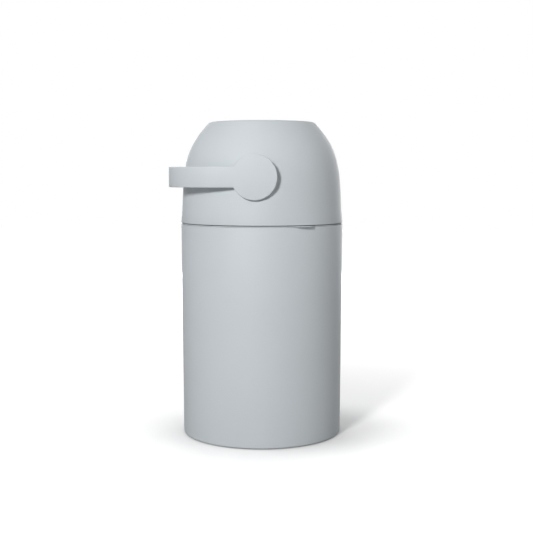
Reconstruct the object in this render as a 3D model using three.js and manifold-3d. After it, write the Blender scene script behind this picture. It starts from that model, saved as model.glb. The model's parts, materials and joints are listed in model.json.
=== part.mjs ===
// Nappy bin with a flip handle, in millimetres, +Z up, origin at the middle of the base on the floor.
// The front disc of the handle faces -Y, the handle's grip rests towards -X, and the head hinges at +Y.
//
// A round bucket carries a bag ring on its rim and, on a rear hinge, a domed head. In the head a
// hollow ball turns on the handle's axle. The ball has a straight chamber through it, in which a
// piston slides under its own weight: turned over, it pushes what lies in the chamber down into the bag.

import * as THREE from 'three';
import { mergeVertices } from 'three/addons/utils/BufferGeometryUtils.js';
import Module from 'manifold-3d';

const wasm = await Module();
wasm.setup();

// Facets of a full circle: shells, turning pieces, and small round pieces
const shellFacets = 40;
const ballFacets = 32;
const rodFacets = 18;
const screwFacets = 8;
const socketSides = 6; // of the socket in a screw's head

// Steps along the dome's outer and inner side, and round the hinge's eyes
const outerSteps = 8;
const innerSteps = 6;
const eyeSteps = 8;

// Clearances
const seatGap = 0.3; // between pieces that rest on or in each other
const ballGap = 0.35; // between the ball and the seals that wipe it
const bagGap = 1.2; // room for the bag's film between ring and bucket
const cutOverrun = 4; // how far a cutting solid runs past the face it opens
const weldDistance = 1e-4; // corners nearer than this are one corner

// Bucket
const bucketTop = 378.9;
const bucketRimRadius = 145.2;
const bucketDraft = 2.4; // how much narrower the foot is than the rim
const bucketWall = 2.6;
const bucketFloor = 3;
const footLift = 0.7; // the foot rim stands this far above the floor, on the pad
const footFillet = 3.6;
const rimRound = 0.8;
const insideFillet = 9;

// Base pad
const padInset = 14.8; // pad edge inside the bucket's foot
const padThickness = 2.4;
const padChamfer = 0.8;

// Bag ring
const ringFlange = 1.4;
const ringSetback = 1.1; // flange edge behind the bucket's outside
const ringSkirtDepth = 35;
const ringWall = 2;
const ringLeadIn = 1.2;
const tabReach = 8.4; // how far the pull tab stands out from the bucket
const tabChord = 47;
const tabAngle = 34.3; // degrees round from the front towards +X

// Head, measured from the seam up
const seamGap = 3;
const headBottom = bucketTop + seamGap;
const headWall = 2.8;
const lipRound = 0.9;
const waistRise = 21.1;
const waistInset = 1.85; // inside the rim's radius
const waistLean = 2.5; // degrees inwards
const waistPullShare = 0.49; // of the height from waist to brow
const browDrop = 1.8; // brow below the top
const browWidth = 9.8; // brow outside the opening in the top
const browSlope = 47.3; // degrees below the horizontal, looking outwards
const browPullShare = 1.378; // of the step in radius from waist to brow
const topWidth = 6.2; // flat rim round the opening in the top

// Opening in the top of the head and the throat ring that lines it
const lipThickness = 2.8;
const ledgeWidth = 3;
const ledgeThickness = 2.3;
const throatGap = 3.84; // air between the ball and the throat or the collar
const throatDepth = 36.8;
const throatFlare = 4.3; // how much wider the throat is at its mouth
const ledgeStand = 2.7; // ledge outside the throat's mouth
const throatWall = 2.4;
const throatRound = 1.2;
const snapBead = 0.5;
const snapBeadHeight = 2.1;

// Ball and chamber, on the handle's axis
const ballInset = 51.2; // room between ball and rim for the hub, its boss and the wall
const ballWall = 2.6;
const chamberInset = 24; // chamber inside the ball's radius
const chamberWall = 2.5;
const mouthLip = 3.46; // lip that keeps the piston in, at each end of the chamber
const mouthLipThickness = 6.2; // along the chamber

// Axle, hub, bush and boss, as radii about the axis and distances out from the middle
const axleRadius = 11.8;
const axleFlat = 9.5; // half the distance across the two driving flats
const axleInset = 8; // inner end of the axle outside the chamber
const axleFlange = 14.5;
const axleFlangeThickness = 3;
const hubRadius = 18;
const hubStand = 15.3; // hub end outside the ball
const bushWall = 2.9;
const bushFlangeWidth = 2.5; // flange outside the hub's radius
const bushFlangeThickness = 2.1;
const bushSink = 0.8; // bush end behind the dome's outside
const bossWall = 5.7;
const stopRing = 27; // outer radius of the ring that carries the turning stop
const stopRingThickness = 3;
const stopReach = 8.5;
const lugWidth = 30; // degrees
const lugReach = 26.5;
const lugThickness = 5.3;
const stopEase = 0.8; // degrees of air at each end of the turn
const lugRoot = 2.6; // how deep the lug's root sits in the hub
const stopClearance = 0.9; // between the bush's flange and the fixed stop

// Handle
const discRadius = 38.65;
const discGap = 1.08; // air between the disc's back and the dome
const discThickness = 6.5;
const strapHeight = 35;
const strapThickness = 5;
const fingerGap = 16; // between the grip and the dome
const strapCorner = 110;
const strapRound = 1.3;
const discRound = 1.3;
const socketRingWall = 2.6;
const socketRingReach = 1.5;
const socketDepth = 5;

// Head base, the funnel plate under the ball
const baseRise = 2.1;
const baseFloor = 2.4;
const baseCollarWall = 2.4;
const baseCollarHeight = 18.8;
const baseRimHeight = 5.5;
const baseRibCount = 8;
const baseRibThickness = 2;
const baseRibHeight = 4;
const baseRibAngle = 22.5; // degrees from +X to the first rib
const catchWidth = 30;
const catchLength = 19;
const catchThickness = 2.2;
const catchBead = 0.7;

// Seals
const sealThickness = 2.2;
const sealReach = 5;
const gasketWidth = 2;

// Screws, the same size under the ball and under the head base
const screwRadius = 2;
const screwHeadRadius = 4;
const screwHeadHeight = 2.6;
const screwLength = 15;
const screwWall = 3;
const baseScrewInset = 11.7; // screw circle inside the rim's radius
const baseScrewCount = 4;
const baseScrewAngle = 45; // degrees from +X to the first screw
const drumScrewInset = 11.5; // screw circle outside the chamber
const drumScrewAngle = 30; // degrees from the axle
const drumScrewSeat = 12; // shoulder under the head, from the parting face

// Piston
const pistonPlay = 0.8;
const pistonHeight = 24;
const pistonWall = 2.6;
const pistonFloor = 2.4;
const coverThickness = 1.9;
const coverSpigot = 4;
const pistonRibCount = 6;
const pistonRibThickness = 2;
const wiperStand = 0.5; // how far the wiper ring stands out of the piston
const wiperHeight = 4.4;
const wiperDepth = 2.2;

// Rear hinge
const hingeOffset = 6.8; // pin centre behind the bucket's rim
const hingeDrop = 1.9; // pin centre below the head's edge
const knuckleRadius = 5.6;
const knuckleWidth = 27.4;
const earWidth = 8;
const pinRadius = 2;
const pinChamfer = 0.4;
const hingeFoot = 28;
const hingeGusset = 16;
const hingeRoom = 0.9; // between the knuckle and the stop face under it
const knuckleArm = 20;
const knuckleShoulder = 6.7; // back edge of the arm above the head's edge
const earShoulder = 3; // top of the ears' root below the bucket's rim

const turn = 2 * Math.PI;
const halfTurn = 180; // degrees
const quarterTurn = 90;
const radians = THREE.MathUtils.degToRad;

// Other side of a right triangle: how far a ball reaches at a given distance from its middle
const ballHeight = (radius, r) => Math.sqrt(radius ** 2 - r ** 2);

// Sizes that follow: the ball fits in the bucket's width, the chamber in the ball, and the throat,
// the collar and the opening in the top fit round the ball

const bucketFootRadius = bucketRimRadius - bucketDraft;
const padRadius = bucketFootRadius - padInset;

const ballRadius = bucketRimRadius - ballInset;
const chamberRadius = ballRadius - chamberInset;
const mouthRadius = chamberRadius - mouthLip;
const mouthLipHeight = ballHeight(ballRadius, mouthRadius) - mouthLipThickness;
const pistonRadius = chamberRadius - pistonPlay;

const baseBottom = headBottom + baseRise;
const collarTop = baseBottom + baseCollarHeight;
const pivotHeight = collarTop + mouthLipHeight;
const throatBottom = pivotHeight + mouthLipHeight;
const headTop = throatBottom + throatDepth;
const throatRadius = ballHeight(ballRadius, mouthLipHeight) + throatGap;
const throatMouthRadius = throatRadius + throatFlare;
const ledgeRadius = throatMouthRadius + ledgeStand;
const lipRadius = ledgeRadius + ledgeWidth;

const waistRadius = bucketRimRadius - waistInset;
const browRadius = lipRadius + browWidth;
const topRadius = lipRadius + topWidth;

const axleStart = chamberRadius + axleInset;
const hubEnd = ballRadius + hubStand;
const baseScrewRadius = bucketRimRadius - baseScrewInset;
const drumScrewRadius = chamberRadius + drumScrewInset;

// Plain surface finishes
const finishes = {
  body: { color: 0xc6cdd0, roughness: 0.55, metalness: 0 },
  inner: { color: 0xd7dadb, roughness: 0.5, metalness: 0 },
  ball: { color: 0xe4e6e6, roughness: 0.35, metalness: 0 },
  piston: { color: 0xb9c0c4, roughness: 0.45, metalness: 0 },
  seal: { color: 0x4b4a4c, roughness: 0.85, metalness: 0 },
  pad: { color: 0x77797a, roughness: 0.9, metalness: 0 },
  bush: { color: 0xefefea, roughness: 0.4, metalness: 0 },
  axle: { color: 0xaeb5b9, roughness: 0.55, metalness: 0 },
  steel: { color: 0xb4b6b8, roughness: 0.35, metalness: 1 },
};
const materials = Object.fromEntries(
  Object.entries(finishes).map(([name, finish]) => [name, new THREE.MeshStandardMaterial(finish)])
);

// Solids and their booleans

function volumeOf(geometry) {
  const position = geometry.getAttribute('position');
  const index = geometry.getIndex();
  const [a, b, c] = [new THREE.Vector3(), new THREE.Vector3(), new THREE.Vector3()];
  let volume = 0;
  for (let i = 0; i < index.count; i += 3) {
    a.fromBufferAttribute(position, index.getX(i));
    b.fromBufferAttribute(position, index.getX(i + 1));
    c.fromBufferAttribute(position, index.getX(i + 2));
    volume += a.dot(b.cross(c)) / 6;
  }
  return volume;
}

// One closed body with its faces pointing out, whichever way its profile was drawn
function solid(source) {
  const geometry = source.clone();
  geometry.deleteAttribute('normal');
  geometry.deleteAttribute('uv');
  const merged = mergeVertices(geometry, weldDistance);
  const corners = Array.from(merged.getIndex().array);
  const kept = [];
  const inward = volumeOf(merged) < 0;
  for (let i = 0; i < corners.length; i += 3) {
    const [a, b, c] = corners.slice(i, i + 3);
    if (a !== b && b !== c && c !== a) {
      kept.push(a, inward ? c : b, inward ? b : c);
    }
  }
  return new wasm.Manifold(new wasm.Mesh({
    numProp: 3,
    vertProperties: new Float32Array(merged.getAttribute('position').array),
    triVerts: new Uint32Array(kept),
  }));
}

function geometryOf(body) {
  const mesh = body.getMesh();
  const geometry = new THREE.BufferGeometry();
  geometry.setAttribute('position', new THREE.BufferAttribute(new Float32Array(mesh.vertProperties), 3));
  geometry.setIndex(new THREE.BufferAttribute(new Uint32Array(mesh.triVerts), 1));
  return geometry;
}

const joined = (...bodies) => bodies.reduce((whole, body) => whole.add(body));
const cut = (body, ...tools) => tools.reduce((rest, tool) => rest.subtract(tool), body);

// Basic forms

// Revolves [radius, height] points about +Z. A profile off the axis closes on itself.
function revolved(points, facets) {
  const onAxis = points[0][0] === 0 && points[points.length - 1][0] === 0;
  const outline = onAxis ? points : [...points, points[0]];
  const geometry = new THREE.LatheGeometry(outline.map(([r, z]) => new THREE.Vector2(r, z)), facets);
  return geometry.rotateX(Math.PI / 2);
}

// Points of an arc in a profile, angles in degrees from the outward direction
function arc(r, z, radius, from, to, steps) {
  const points = [];
  for (let i = 0; i <= steps; i += 1) {
    const angle = radians(from + ((to - from) * i) / steps);
    points.push([r + radius * Math.cos(angle), z + radius * Math.sin(angle)]);
  }
  return points;
}

function rod(radius, low, high, facets = rodFacets) {
  return revolved([[0, low], [radius, low], [radius, high], [0, high]], facets);
}

function ring(inner, outer, low, high, facets) {
  return revolved([[inner, low], [outer, low], [outer, high], [inner, high]], facets);
}

function block(lowX, highX, lowY, highY, lowZ, highZ) {
  const geometry = new THREE.BoxGeometry(highX - lowX, highY - lowY, highZ - lowZ);
  return geometry.translate((lowX + highX) / 2, (lowY + highY) / 2, (lowZ + highZ) / 2);
}

// Turns a form made about +Z, with height as distance from the middle, to point at the front disc
const facingFront = (geometry) => geometry.rotateX(Math.PI / 2);

// Lifts a form made about the ball's centre to the height of the axle
const atPivot = (geometry) => geometry.translate(0, 0, pivotHeight);

// The same piece on the other side of the bin, front for rear
const mirrored = (geometry) => geometry.clone().scale(1, -1, 1);

// A plate drawn in the YZ plane, as wide along X as asked, centred at x
function plateAcross(outline, width, x = 0) {
  const shape = new THREE.Shape(outline.map(([y, z]) => new THREE.Vector2(y, z)));
  const geometry = new THREE.ExtrudeGeometry(shape, { depth: width, bevelEnabled: false, steps: 1 });
  geometry.translate(0, 0, -width / 2);
  const basis = new THREE.Matrix4().makeBasis(
    new THREE.Vector3(0, 1, 0), new THREE.Vector3(0, 0, 1), new THREE.Vector3(1, 0, 0)
  );
  return geometry.applyMatrix4(basis).translate(x, 0, 0);
}

// A slice of a ring about the Z axis between two angles in degrees from +X
function ringSector(inner, outer, low, high, from, to) {
  const shape = new THREE.Shape();
  shape.absarc(0, 0, outer, radians(from), radians(to), false);
  shape.absarc(0, 0, inner, radians(to), radians(from), true);
  const curveSegments = Math.max(3, Math.round((rodFacets * (to - from)) / (2 * halfTurn)));
  const depth = high - low;
  const geometry = new THREE.ExtrudeGeometry(shape, { depth, bevelEnabled: false, curveSegments });
  return geometry.translate(0, 0, low);
}

// Places a copy of a geometry at each of several angles about +Z
function around(geometry, count, firstAngle = 0) {
  const first = radians(firstAngle);
  return Array.from({ length: count }, (_, i) => geometry.clone().rotateZ(first + (turn * i) / count));
}

const model = new THREE.Group();

function place(name, body, material) {
  const mesh = new THREE.Mesh(body instanceof THREE.BufferGeometry ? body : geometryOf(body), material);
  mesh.name = name;
  model.add(mesh);
}

// Profiles that several pieces share

const bucketTaper = (bucketRimRadius - bucketFootRadius) / (bucketTop - footLift - footFillet);
const bucketOutside = (z) => bucketRimRadius - bucketTaper * (bucketTop - z);
const bucketInside = (z) => bucketOutside(z) - bucketWall;

const padTop = padThickness;
const floorUnderside = padTop + seatGap;
const floorTop = floorUnderside + bucketFloor;
const recessRadius = padRadius + seatGap;

const ringBottom = bucketTop + seatGap;
const ringTop = ringBottom + ringFlange;
const ringFlangeRadius = bucketRimRadius - ringSetback;
const ringSkirtOutside = bucketInside(bucketTop) - bagGap;
const ringSkirtInside = ringSkirtOutside - ringWall;

const waistHeight = headBottom + waistRise;
const browHeight = headTop - browDrop;
const headFlare = waistInset / waistRise;
const headOutside = (z) => bucketRimRadius - headFlare * (z - headBottom);
// Outer side of the dome from the lower edge to the brow, moved inwards by a depth
function domeSide(depth, steps) {
  const lean = radians(waistLean);
  const slope = radians(browSlope);
  const waistPull = waistPullShare * (browHeight - waistHeight);
  const browPull = browPullShare * (waistRadius - browRadius);
  const side = new THREE.CubicBezierCurve(
    new THREE.Vector2(waistRadius, waistHeight),
    new THREE.Vector2(waistRadius - waistPull * Math.sin(lean), waistHeight + waistPull * Math.cos(lean)),
    new THREE.Vector2(browRadius + browPull * Math.cos(slope), browHeight - browPull * Math.sin(slope)),
    new THREE.Vector2(browRadius, browHeight)
  );
  const points = [];
  for (let i = 0; i <= steps; i += 1) {
    const along = side.getTangent(i / steps);
    const point = side.getPoint(i / steps);
    points.push([point.x - depth * along.y, point.y + depth * along.x]);
  }
  return points;
}

// Outside radius of the dome at a height above its waist
function domeOutsideAt(height) {
  const side = domeSide(0, 4 * outerSteps);
  const above = side.findIndex(([, z]) => z > height);
  const [[lowR, lowZ], [highR, highZ]] = side.slice(above - 1, above + 1);
  return lowR + ((highR - lowR) * (height - lowZ)) / (highZ - lowZ);
}

// The dome's outer form as a full body, moved inwards by a depth
function domeBody(depth) {
  return revolved([
    [0, headBottom - (depth > 0 ? cutOverrun : 0)],
    [headOutside(headBottom) - depth, headBottom - (depth > 0 ? cutOverrun : 0)],
    ...domeSide(depth, outerSteps),
    [topRadius - depth, headTop - depth],
    [0, headTop - depth],
  ], shellFacets);
}

// Points along a sphere about the pivot between two radii from the Z axis
function ballArc(radius, fromR, toR, side, steps) {
  const from = Math.acos(Math.min(1, fromR / radius));
  const to = Math.acos(Math.min(1, toR / radius));
  return Array.from({ length: steps + 1 }, (_, i) => {
    const angle = from + ((to - from) * i) / steps;
    return [radius * Math.cos(angle), side * radius * Math.sin(angle)];
  });
}

// Driving bore or shaft with two flats: a round bar with its top and bottom planed off
function flattedRod(radius, flat, low, high) {
  const reach = radius + cutOverrun;
  return solid(rod(radius, low, high)).intersect(solid(block(-reach, reach, -flat, flat, low, high)));
}

// Bucket

const hingeY = bucketRimRadius + hingeOffset;
const hingeZ = headBottom - hingeDrop;
const earRoot = bucketRimRadius - 2 * bucketWall; // the ears start inside the bucket's wall

function bucketEar(width, x) {
  const bottom = hingeZ - hingeFoot;
  const gusset = hingeZ - hingeFoot + hingeGusset;
  return plateAcross([
    [earRoot, bottom],
    [bucketRimRadius, bottom],
    [hingeY + knuckleRadius, gusset],
    ...arc(hingeY, hingeZ, knuckleRadius, 0, halfTurn, eyeSteps),
    [hingeY - knuckleRadius, bucketTop - earShoulder],
    [earRoot, bucketTop - earShoulder],
  ], width, x);
}

function makeBucket() {
  const shell = revolved([
    [0, floorUnderside],
    [recessRadius, floorUnderside],
    [recessRadius, footLift],
    ...arc(bucketFootRadius - footFillet, footLift + footFillet, footFillet, -90, 0, 3),
    ...arc(bucketRimRadius - rimRound, bucketTop - rimRound, rimRound, 0, 90, 1),
    [bucketRimRadius - bucketWall, bucketTop],
    ...arc(bucketInside(floorTop) - insideFillet, floorTop + insideFillet, insideFillet, 0, -90, 2),
    [0, floorTop],
  ], shellFacets);
  const cavity = revolved([
    [0, floorTop],
    [bucketInside(floorTop) + bucketWall / 2, floorTop],
    [bucketInside(bucketTop) + bucketWall / 2, bucketTop + cutOverrun],
    [0, bucketTop + cutOverrun],
  ], shellFacets);
  const earX = knuckleWidth / 2 + seatGap + earWidth / 2;
  const floorZ = hingeZ - knuckleRadius - hingeRoom;
  const bridge = plateAcross([
    [earRoot, hingeZ - hingeFoot],
    [bucketRimRadius, hingeZ - hingeFoot],
    [hingeY + knuckleRadius, hingeZ - hingeFoot + hingeGusset],
    [hingeY + knuckleRadius, floorZ],
    [earRoot, floorZ],
  ], knuckleWidth + earWidth);
  const bracket = joined(solid(bridge), solid(bucketEar(earWidth, earX)), solid(bucketEar(earWidth, -earX)));
  const pinHole = solid(pinBar(pinRadius + seatGap, earX + earWidth));
  return joined(solid(shell), cut(bracket, solid(cavity))).subtract(pinHole);
}

// A plain bar along the hinge axis
function pinBar(radius, reach) {
  const bar = rod(radius, -reach, reach, screwFacets);
  return bar.rotateY(Math.PI / 2).translate(0, hingeY, hingeZ);
}

function makeHingePin() {
  const reach = knuckleWidth / 2 + seatGap + earWidth;
  const bar = revolved([
    [0, -reach],
    [pinRadius - pinChamfer, -reach],
    [pinRadius, -reach + pinChamfer],
    [pinRadius, reach - pinChamfer],
    [pinRadius - pinChamfer, reach],
    [0, reach],
  ], screwFacets);
  return bar.rotateY(Math.PI / 2).translate(0, hingeY, hingeZ);
}

function makeBasePad() {
  return revolved([
    [0, 0],
    [padRadius - padChamfer, 0],
    [padRadius, padChamfer],
    [padRadius, padTop],
    [0, padTop],
  ], shellFacets);
}

// Bag ring: flange on the bucket's rim, skirt that spreads the bag, and a crescent tab to lift it by
function makeBagRing() {
  const skirtBottom = ringBottom - ringSkirtDepth;
  const body = solid(revolved([
    [ringSkirtInside + ringLeadIn, ringTop],
    [ringFlangeRadius, ringTop],
    [ringFlangeRadius, ringBottom],
    [ringSkirtOutside, ringBottom],
    [ringSkirtOutside, skirtBottom + ringLeadIn],
    [ringSkirtOutside - ringLeadIn, skirtBottom],
    [ringSkirtInside, skirtBottom],
    [ringSkirtInside, ringTop - ringLeadIn],
  ], shellFacets));
  const tabTop = bucketRimRadius + tabReach;
  const halfChord = tabChord / 2;
  const depth = tabTop - Math.sqrt(ringFlangeRadius ** 2 - halfChord ** 2);
  const tabRadius = (halfChord ** 2 + depth ** 2) / (2 * depth);
  const disc = rod(tabRadius, ringBottom, ringTop, shellFacets).translate(tabTop - tabRadius, 0, 0);
  const blank = rod(ringFlangeRadius - ringWall / 2, 0, headTop, shellFacets);
  const tab = geometryOf(cut(solid(disc), solid(blank))).rotateZ(radians(tabAngle) - Math.PI / 2);
  return joined(body, solid(tab));
}

place('bucket', makeBucket(), materials.body);
place('base_pad', makeBasePad(), materials.pad);
place('bag_ring', makeBagRing(), materials.body);
place('hinge_pin', makeHingePin(), materials.steel);

// Dome shell of the head

const lipUnderside = headTop - lipThickness;
const ledgeTop = lipUnderside - seatGap;
const ledgeUnderside = ledgeTop - ledgeThickness;

const bushInside = axleRadius + seatGap;
const bushOutside = bushInside + bushWall;
const bossBore = bushOutside + seatGap;
const bossRadius = bossBore + bossWall;
const bushFlangeStart = hubEnd + seatGap;
const bossStart = bushFlangeStart + bushFlangeThickness + seatGap;
const stopStart = bossStart - stopReach;
const bushFlange = hubRadius + bushFlangeWidth;
const stopInside = bushFlange + stopClearance;

// Half of the arc that the fixed stop fills, so that the lug can make exactly half a turn
const stopHalfAngle = (halfTurn - lugWidth) / 2 - stopEase;

const baseFloorTop = baseBottom + baseFloor;
const screwShoulder = baseBottom + screwHeadHeight + 2 * seatGap;
const baseBossTop = screwShoulder + screwWall;
const domeBossBottom = baseBossTop + seatGap;
const domeBossTop = domeBossBottom + screwLength;

function makeBossFront() {
  const sleeve = solid(facingFront(rod(bossRadius, bossStart, bucketRimRadius)));
  const collar = solid(facingFront(rod(stopRing, bossStart, bossStart + stopRingThickness)));
  const stop = ringSector(
    stopInside, stopRing, stopStart, bossStart + stopRingThickness / 2,
    halfTurn - stopHalfAngle, halfTurn + stopHalfAngle
  );
  return joined(sleeve, collar, solid(facingFront(stop)));
}

function makeDomeShell() {
  const inner = domeSide(headWall, innerSteps).reverse();
  const [endRadius, endHeight] = inner.shift();
  const underRadius = endRadius + (endHeight - ledgeUnderside) / Math.tan(radians(browSlope));
  const shell = revolved([
    ...arc(bucketRimRadius - lipRound, headBottom + lipRound, lipRound, -90, 0, 1),
    ...domeSide(0, outerSteps),
    [topRadius + (browRadius - topRadius) / 4, headTop - (headTop - browHeight) / 4],
    [topRadius, headTop],
    [lipRadius, headTop],
    [lipRadius, ledgeTop],
    [ledgeRadius, ledgeTop],
    [ledgeRadius, ledgeUnderside],
    [underRadius, ledgeUnderside],
    ...inner,
    [headOutside(headBottom) - headWall, headBottom],
  ], shellFacets);
  const within = solid(domeBody(headWall / 2));
  const bossFront = geometryOf(makeBossFront());
  const bosses = [bossFront, mirrored(bossFront)].map((boss) => solid(atPivot(boss)).intersect(within));
  const bossRod = rod(screwRadius + seatGap + screwWall, domeBossBottom, domeBossTop, screwFacets);
  bossRod.translate(baseScrewRadius, 0, 0);
  const web = block(
    baseScrewRadius, bucketRimRadius, -screwWall / 2, screwWall / 2, domeBossBottom, domeBossTop
  );
  const screwBosses = around(bossRod, baseScrewCount, baseScrewAngle).map((boss) => solid(boss));
  const webs = around(web, baseScrewCount, baseScrewAngle).map((rib) => solid(rib).intersect(within));
  const knuckle = cut(solid(makeKnuckle()), within);
  const pilot = rod(screwRadius + seatGap, domeBossBottom - cutOverrun, domeBossTop - screwWall, screwFacets);
  pilot.translate(baseScrewRadius, 0, 0);
  const boreReach = bucketRimRadius + cutOverrun;
  const bore = facingFront(rod(bossBore, bossStart - cutOverrun, boreReach));
  const cutters = [bore, mirrored(bore)].map((hole) => solid(atPivot(hole)));
  return cut(
    joined(solid(shell), ...bosses, ...webs, ...screwBosses, knuckle),
    ...cutters,
    ...around(pilot, baseScrewCount, baseScrewAngle).map((hole) => solid(hole)),
    solid(pinBar(pinRadius + seatGap, knuckleWidth))
  );
}

function makeKnuckle() {
  const root = bucketRimRadius - headWall;
  return plateAcross([
    [hingeY - knuckleRadius, headBottom + lipRound],
    [root, headBottom + lipRound],
    [root, headBottom + knuckleArm],
    [bucketRimRadius, headBottom + knuckleArm],
    [hingeY + knuckleRadius, headBottom + knuckleShoulder],
    ...arc(hingeY, hingeZ, knuckleRadius, 0, -halfTurn, eyeSteps),
  ], knuckleWidth);
}

place('dome_shell', makeDomeShell(), materials.body);

// Throat ring, dropped into the lip and snapped under its ledge
const throatFlangeRadius = lipRadius - seatGap;
const throatNeck = ledgeRadius - seatGap;
const throatFoot = throatNeck - seatGap;

function makeThroatRing() {
  const beadTop = ledgeUnderside - seatGap;
  return revolved([
    ...arc(throatFlangeRadius - throatRound, headTop - throatRound, throatRound, 0, 90, 1),
    ...arc(throatMouthRadius + throatRound, headTop - throatRound, throatRound, 90, 180, 2),
    [throatRadius, throatBottom + throatWall],
    [throatRadius, throatBottom],
    [throatFoot, throatBottom],
    [throatFoot, throatBottom + throatWall],
    [throatRadius + throatWall, throatBottom + throatWall],
    [throatMouthRadius, beadTop - snapBeadHeight - snapBead],
    [ledgeRadius + snapBead, beadTop - snapBeadHeight / 2],
    [ledgeRadius + snapBead, beadTop],
    [throatNeck, beadTop],
    [throatNeck, lipUnderside],
    [throatFlangeRadius, lipUnderside],
  ], shellFacets);
}

// Lip seal under the throat, hooked round its foot and wiping the ball
function makeUpperSeal() {
  const wipe = ballRadius + ballGap;
  const innerR = throatRadius + seatGap;
  const outerR = innerR + sealReach;
  const top = throatBottom - seatGap;
  const hook = throatFoot + seatGap;
  return revolved([
    ...ballArc(wipe, innerR, outerR, 1, 2).map(([r, z]) => [r, z + pivotHeight]),
    [hook + sealThickness, pivotHeight + ballHeight(wipe, outerR)],
    [hook + sealThickness, throatBottom + throatWall + seatGap],
    [hook, throatBottom + throatWall + seatGap],
    [hook, top],
    [innerR, top],
  ], shellFacets);
}

place('throat_ring', solid(makeThroatRing()), materials.inner);
place('upper_seal', solid(makeUpperSeal()), materials.seal);

// Head base: collar round the ball, ribbed floor, rim inside the dome, and a catch tongue at the front
const baseRimTop = baseBottom + baseRimHeight;
const baseRimOutside = (z) => headOutside(z) - headWall - seatGap;

function makeHeadBase() {
  const plate = solid(revolved([
    [throatRadius, baseBottom],
    [baseRimOutside(baseBottom), baseBottom],
    [baseRimOutside(baseRimTop), baseRimTop],
    [baseRimOutside(baseRimTop) - baseFloor, baseRimTop],
    [baseRimOutside(baseRimTop) - baseFloor, baseFloorTop],
    [throatRadius + baseCollarWall, baseFloorTop],
    [throatRadius + baseCollarWall, collarTop],
    [throatRadius, collarTop],
  ], shellFacets));
  const rib = block(
    throatRadius + baseCollarWall / 2, baseRimOutside(baseRimTop) - baseFloor / 2,
    -baseRibThickness / 2, baseRibThickness / 2, baseFloorTop - baseFloor / 2, baseFloorTop + baseRibHeight
  );
  const ribs = around(rib, baseRibCount, baseRibAngle).map((one) => solid(one));
  const boss = rod(screwHeadRadius + screwWall, baseBottom, baseBossTop, screwFacets);
  boss.translate(baseScrewRadius - screwWall / 2, 0, 0);
  const holes = joined(
    solid(rod(screwRadius + seatGap, baseBottom, baseBossTop + cutOverrun, screwFacets)),
    solid(rod(screwHeadRadius + seatGap, baseBottom - cutOverrun, screwShoulder, screwFacets))
  );
  const holeForm = geometryOf(holes).translate(baseScrewRadius, 0, 0);
  const bosses = around(boss, baseScrewCount, baseScrewAngle).map((one) => solid(one));
  return cut(
    joined(plate, ...ribs, ...bosses, makeCatch()),
    ...around(holeForm, baseScrewCount, baseScrewAngle).map((one) => solid(one))
  );
}

// The catch tongue hangs inside the bag ring, its bead just clear of the skirt
function makeCatch() {
  const outerR = ringSkirtInside - seatGap - catchBead;
  const innerR = outerR - catchThickness;
  const bottom = baseBottom - catchLength;
  const full = solid(revolved([
    [innerR, bottom],
    [outerR, bottom],
    [outerR + catchBead, bottom + 2 * catchBead],
    [outerR + catchBead, bottom + 4 * catchBead],
    [outerR, bottom + 6 * catchBead],
    [outerR, baseBottom + baseFloor / 2],
    [innerR, baseBottom + baseFloor / 2],
  ], shellFacets));
  const reach = bucketRimRadius;
  return full.intersect(solid(block(-catchWidth / 2, catchWidth / 2, -reach, -reach / 2, bottom, headTop)));
}

// Lip seal on the collar's upper edge, hooked over it and wiping the ball
function makeLowerSeal() {
  const wipe = ballRadius + ballGap;
  const seat = collarTop + seatGap;
  const lowR = ballHeight(wipe, pivotHeight - seat);
  const highR = lowR + sealReach / 2;
  const hook = throatRadius + baseCollarWall + seatGap;
  const highZ = pivotHeight - ballHeight(wipe, highR);
  return revolved([
    [lowR, seat],
    [hook, seat],
    [hook, seat - sealReach],
    [hook + sealThickness, seat - sealReach],
    [hook + sealThickness, highZ],
    [highR, highZ],
  ], shellFacets);
}

function makeGasket() {
  const innerR = ringSkirtInside + seatGap;
  return ring(innerR, innerR + gasketWidth, ringTop + seatGap, baseBottom - seatGap, shellFacets);
}

place('head_base', makeHeadBase(), materials.inner);
place('lower_seal', solid(makeLowerSeal()), materials.seal);
place('head_gasket', solid(makeGasket()), materials.seal);

// Bushes in the dome's bosses
const domeAtPivot = domeOutsideAt(pivotHeight);
const bushEnd = domeAtPivot - bushSink;

function makeBush() {
  return atPivot(facingFront(revolved([
    [bushInside, bushFlangeStart],
    [bushFlange, bushFlangeStart],
    [bushFlange, bushFlangeStart + bushFlangeThickness],
    [bushOutside, bushFlangeStart + bushFlangeThickness],
    [bushOutside, bushEnd],
    [bushInside, bushEnd],
  ], rodFacets)));
}

place('bush_front', solid(makeBush()), materials.bush);
place('bush_rear', solid(mirrored(makeBush())), materials.bush);

// One screw standing on its axis, head down, at a shoulder height
function makeScrew(shoulder, x, y) {
  const head = shoulder - seatGap;
  const socketTop = head - screwHeadHeight / 2;
  const socket = rod(screwRadius, head - screwHeadHeight - cutOverrun, socketTop, socketSides);
  const body = solid(revolved([
    [0, head - screwHeadHeight],
    [screwHeadRadius, head - screwHeadHeight],
    [screwHeadRadius, head],
    [screwRadius, head],
    [screwRadius, head + screwLength],
    [0, head + screwLength],
  ], screwFacets));
  return geometryOf(cut(body, solid(socket))).translate(x, y, 0);
}

for (let i = 0; i < baseScrewCount; i += 1) {
  const angle = radians(baseScrewAngle) + (turn * i) / baseScrewCount;
  const x = baseScrewRadius * Math.cos(angle);
  const y = baseScrewRadius * Math.sin(angle);
  place(`base_screw_${i + 1}`, makeScrew(screwShoulder, x, y), materials.steel);
}

// Ball: two halves of a hollow drum that clamp the axles between them

const partingGap = seatGap / 2;

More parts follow.
